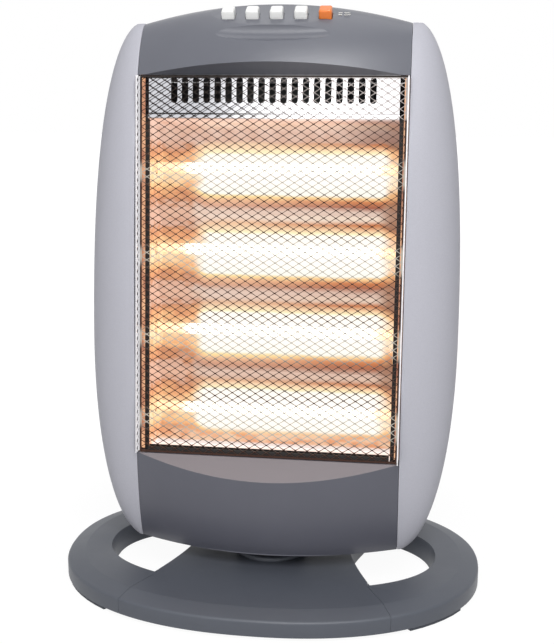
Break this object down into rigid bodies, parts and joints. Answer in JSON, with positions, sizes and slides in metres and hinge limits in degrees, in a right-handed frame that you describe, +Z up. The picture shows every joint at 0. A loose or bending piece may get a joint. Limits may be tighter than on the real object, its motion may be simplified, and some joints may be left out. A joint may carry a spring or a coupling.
{
  "type": "halogen heater",
  "caption": "Free-standing halogen heater with a leaned body that swings on an oval ring base, glowing lamp tubes behind a diamond net, silver side panels and push buttons on top.",
  "frame": {"origin": "on the floor under the middle of the oval base, which is the swivel's axis", "axes": "+Z up, the lamps and the guard net face -Y, +X to the right as seen from the front"},
  "size_m": [0.4, 0.29, 0.5361],
  "materials": {
    "silver_plastic": "silver paint with a satin gloss",
    "slate_plastic": "slate grey metallic, satin",
    "base_plastic": "slate grey, satin",
    "dark_plastic": "dark grey, fine grain",
    "black_plastic": "black, moulded",
    "white_plastic": "natural white, moulded",
    "white_button": "white, glossy",
    "orange_button": "orange, glossy and slightly clear",
    "pad_rubber": "matt",
    "polished_aluminium": "polished sheet",
    "guard_steel": "plated expanded metal",
    "dark_steel": "dark, heat tinted",
    "zinc_steel": "zinc plated",
    "ceramic": "unglazed ceramic",
    "quartz": "clear quartz glass",
    "filament_wire": "glowing tungsten coil"
  },
  "bodies": {
    "base": {"base_centre": "base_plastic", "base_arc_left": "base_plastic", "base_arc_right": "base_plastic", "foot_pad_front_left": "pad_rubber", "foot_pad_rear_left": "pad_rubber", "foot_pad_front_right": "pad_rubber", "foot_pad_rear_right": "pad_rubber", "pivot_tube": "zinc_steel", "swivel_ring": "black_plastic", "pivot_washer": "zinc_steel", "pivot_nut": "zinc_steel", "swing_post_arm": "zinc_steel", "tip_over_switch": "black_plastic"},
    "plunger": {"tip_over_plunger": "white_plastic"},
    "heater": {"left_side_panel": "silver_plastic", "right_side_panel": "silver_plastic", "top_cover": "slate_plastic", "lower_cover": "slate_plastic", "rear_cover": "dark_plastic", "handle_cup": "black_plastic", "cord_gland": "black_plastic", "swivel_plate": "zinc_steel", "pivot_bush": "white_plastic", "reflector": "polished_aluminium", "left_lamp_plate": "dark_steel", "right_lamp_plate": "dark_steel", "guard_net": "guard_steel", "quartz_tube_1": "quartz", "quartz_tube_2": "quartz", "quartz_tube_3": "quartz", "quartz_tube_4": "quartz", "filament_1": "filament_wire", "filament_2": "filament_wire", "filament_3": "filament_wire", "filament_4": "filament_wire", "end_cap_left_1": "ceramic", "end_cap_left_2": "ceramic", "end_cap_left_3": "ceramic", "end_cap_left_4": "ceramic", "end_cap_right_1": "ceramic", "end_cap_right_2": "ceramic", "end_cap_right_3": "ceramic", "end_cap_right_4": "ceramic", "thermal_cutout": "black_plastic", "switch_bracket": "zinc_steel", "switch_1": "black_plastic", "switch_2": "black_plastic", "switch_3": "black_plastic", "switch_4": "black_plastic", "switch_5": "black_plastic", "swing_motor": "zinc_steel", "motor_bracket": "zinc_steel"},
    "crank": {"crank_disc": "white_plastic"},
    "link": {"swing_link": "zinc_steel"},
    "button_body_1": {"button_1": "white_button"},
    "button_body_2": {"button_2": "white_button"},
    "button_body_3": {"button_3": "white_button"},
    "button_body_4": {"button_4": "white_button"},
    "button_body_5": {"button_5": "orange_button"}
  },
  "joints": [
    {"name": "swivel", "type": "hinge", "parent": "base", "child": "heater", "pos_m": [0, 0, 0.04], "axis": [0, 0, 1], "range_deg": [-35, 35]},
    {"name": "crank_turn", "type": "hinge", "parent": "heater", "child": "crank", "pos_m": [0.05597, -0.00195, 0.058], "axis": [0, 0, 1], "range_deg": [-48, 48]},
    {"name": "link_turn", "type": "hinge", "parent": "crank", "child": "link", "pos_m": [0.05844, 0.00979, 0.055], "axis": [0, 0, 1], "range_deg": [-46, 46]},
    {"name": "button_1_press", "type": "slide", "parent": "heater", "child": "button_body_1", "axis": [0, 0.4924, -0.8704], "range_m": [0, 0.003], "stiffness_N_per_m": 400},
    {"name": "button_2_press", "type": "slide", "parent": "heater", "child": "button_body_2", "axis": [0, 0.4924, -0.8704], "range_m": [0, 0.003], "stiffness_N_per_m": 400},
    {"name": "button_3_press", "type": "slide", "parent": "heater", "child": "button_body_3", "axis": [0, 0.4924, -0.8704], "range_m": [0, 0.003], "stiffness_N_per_m": 400},
    {"name": "button_4_press", "type": "slide", "parent": "heater", "child": "button_body_4", "axis": [0, 0.4924, -0.8704], "range_m": [0, 0.003], "stiffness_N_per_m": 400},
    {"name": "button_5_press", "type": "slide", "parent": "heater", "child": "button_body_5", "axis": [0, 0.4924, -0.8704], "range_m": [0, 0.003], "stiffness_N_per_m": 400},
    {"name": "tip_over_travel", "type": "slide", "parent": "base", "child": "plunger", "axis": [0, 0, 1], "range_m": [-0.005, 0], "stiffness_N_per_m": 150, "springref_m": -0.005}
  ],
  "couplings": [
    {"joint": "crank_turn", "follows": "swivel", "ratio": -1.34},
    {"joint": "link_turn", "follows": "swivel", "ratio": 1.28}
  ]
}
